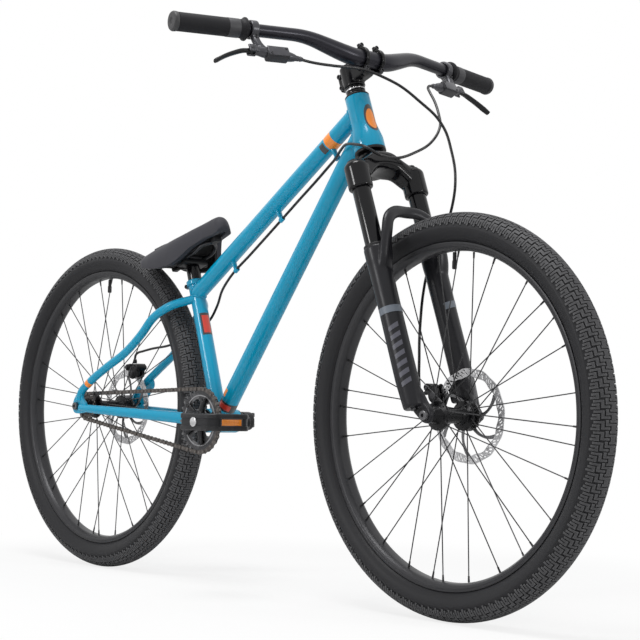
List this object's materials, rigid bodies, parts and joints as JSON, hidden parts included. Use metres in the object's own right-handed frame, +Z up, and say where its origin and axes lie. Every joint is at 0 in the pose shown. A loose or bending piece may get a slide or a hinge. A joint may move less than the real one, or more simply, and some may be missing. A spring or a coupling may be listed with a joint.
{
  "type": "dirt jump bike",
  "caption": "Dirt jump bike: low sloping steel frame, short-travel suspension fork, riser bar, single-speed chain drive, disc brakes and platform pedals.",
  "frame": {"origin": "on the ground, midway between the two axles and in the frame's middle plane", "axes": "+X forward, +Y to the rider's left, +Z up; both wheels stand on Z = 0"},
  "size_m": [1.689, 0.7608, 0.9974],
  "materials": {
    "frame_paint": "gloss cyan blue paint on welded steel tube",
    "collar_paint": "blue anodised alloy",
    "black_alloy": "satin black anodised alloy",
    "gloss_black_alloy": "gloss black paint on alloy tube and forging",
    "fork_charcoal": "satin charcoal paint on a light alloy casting",
    "bar_alloy": "satin dark grey anodised alloy tube",
    "lever_grey": "satin grey alloy casting",
    "lever_black": "satin black alloy",
    "caliper_black": "satin black alloy casting",
    "rotor_steel": "brushed stainless steel",
    "dark_steel": "blackened steel",
    "chain_steel": "brown-grey oiled steel",
    "crank_grey": "satin dark grey paint on steel",
    "rim_black": "satin black anodised alloy",
    "hub_black": "satin black hub with dark steel spokes",
    "tyre_rubber": "matte black rubber, block tread",
    "grip_rubber": "matte black rubber",
    "hose_plastic": "smooth black hose",
    "pedal_resin": "dark grey moulded resin",
    "saddle_plastic": "black moulded shell",
    "saddle_cover": "matte charcoal synthetic leather"
  },
  "bodies": {
    "root": {"head_tube": "frame_paint", "top_tube": "frame_paint", "down_tube": "frame_paint", "seat_tube": "frame_paint", "bb_shell": "frame_paint", "chainstay_right": "frame_paint", "chainstay_left": "frame_paint", "seatstay_right": "frame_paint", "seatstay_left": "frame_paint", "dropout_right": "frame_paint", "dropout_left": "frame_paint", "seat_collar": "collar_paint", "headset_upper": "black_alloy", "headset_lower": "black_alloy", "bb_cup_right": "black_alloy", "bb_cup_left": "black_alloy", "rear_axle": "dark_steel", "rear_caliper": "caliper_black", "rear_hose": "hose_plastic", "chain": "chain_steel"},
    "seat": {"seat_post": "black_alloy", "saddle_clamp": "black_alloy", "saddle_rails": "dark_steel", "saddle_shell": "saddle_plastic", "saddle_pad": "saddle_cover"},
    "steering": {"steerer": "black_alloy", "headset_spacers": "black_alloy", "fork_crown": "gloss_black_alloy", "stanchion_right": "gloss_black_alloy", "stanchion_left": "gloss_black_alloy", "fork_cap_right": "black_alloy", "fork_cap_left": "black_alloy", "stem_body": "black_alloy", "stem_faceplate": "black_alloy", "stem_cap": "black_alloy", "handlebar": "bar_alloy", "grip_right": "grip_rubber", "grip_left": "grip_rubber", "lever_body_right": "lever_grey", "lever_body_left": "lever_grey", "front_hose": "hose_plastic"},
    "lever_right": {"lever_blade_right": "lever_black"},
    "lever_left": {"lever_blade_left": "lever_black"},
    "lowers": {"fork_lowers": "fork_charcoal", "front_axle": "dark_steel", "front_caliper": "caliper_black"},
    "front_wheel": {"front_tyre": "tyre_rubber", "front_rim": "rim_black", "front_hub_spokes": "hub_black", "front_rotor": "rotor_steel"},
    "rear_wheel": {"rear_tyre": "tyre_rubber", "rear_rim": "rim_black", "rear_hub_spokes": "hub_black", "rear_rotor": "rotor_steel"},
    "driver": {"rear_sprocket": "chain_steel"},
    "crank": {"chainring": "crank_grey", "crank_right": "crank_grey", "crank_left": "crank_grey"},
    "pedal_r": {"pedal_right": "pedal_resin"},
    "pedal_l": {"pedal_left": "pedal_resin"}
  },
  "joints": [
    {"name": "steering_turn", "type": "hinge", "parent": "root", "child": "steering", "pos_m": [0.2625, 0, 0.892], "axis": [-0.3469, 0, 0.9379], "range_deg": [-80, 80], "deforming": ["rear_hose"]},
    {"name": "fork_travel", "type": "slide", "parent": "steering", "child": "lowers", "axis": [-0.3469, 0, 0.9379], "range_m": [0, 0.08], "stiffness_N_per_m": 8000, "springref_m": -0.03, "deforming": ["front_hose"]},
    {"name": "front_wheel_spin", "type": "hinge", "parent": "lowers", "child": "front_wheel", "pos_m": [0.5095, 0, 0.335], "axis": [0, 1, 0], "continuous": true},
    {"name": "rear_wheel_spin", "type": "hinge", "parent": "root", "child": "rear_wheel", "pos_m": [-0.5095, 0, 0.335], "axis": [0, 1, 0], "continuous": true},
    {"name": "crank_spin", "type": "hinge", "parent": "root", "child": "crank", "pos_m": [-0.114, 0, 0.3135], "axis": [0, 1, 0], "continuous": true, "deforming": ["chain"]},
    {"name": "driver_spin", "type": "hinge", "parent": "root", "child": "driver", "pos_m": [-0.5095, 0, 0.335], "axis": [0, 1, 0], "continuous": true},
    {"name": "pedal_right_spin", "type": "hinge", "parent": "crank", "child": "pedal_r", "pos_m": [0.056, -0.143, 0.3135], "axis": [0, 1, 0], "continuous": true},
    {"name": "pedal_left_spin", "type": "hinge", "parent": "crank", "child": "pedal_l", "pos_m": [-0.284, 0.143, 0.3135], "axis": [0, 1, 0], "continuous": true},
    {"name": "lever_right_pull", "type": "hinge", "parent": "steering", "child": "lever_right", "pos_m": [0.27088, -0.248, 0.93743], "axis": [-0.8322, 0.1748, -0.5261], "range_deg": [0, 18], "stiffness_Nm_per_rad": 1.5, "springref_deg": -11.46},
    {"name": "lever_left_pull", "type": "hinge", "parent": "steering", "child": "lever_left", "pos_m": [0.27088, 0.248, 0.93743], "axis": [0.8322, 0.1748, 0.5261], "range_deg": [0, 18], "stiffness_Nm_per_rad": 1.5, "springref_deg": -11.46},
    {"name": "seat_height", "type": "slide", "parent": "root", "child": "seat", "axis": [-0.3173, 0, 0.9483], "range_m": [0, 0.08]}
  ],
  "couplings": [
    {"joint": "driver_spin", "follows": "crank_spin", "ratio": 2.3077}
  ]
}
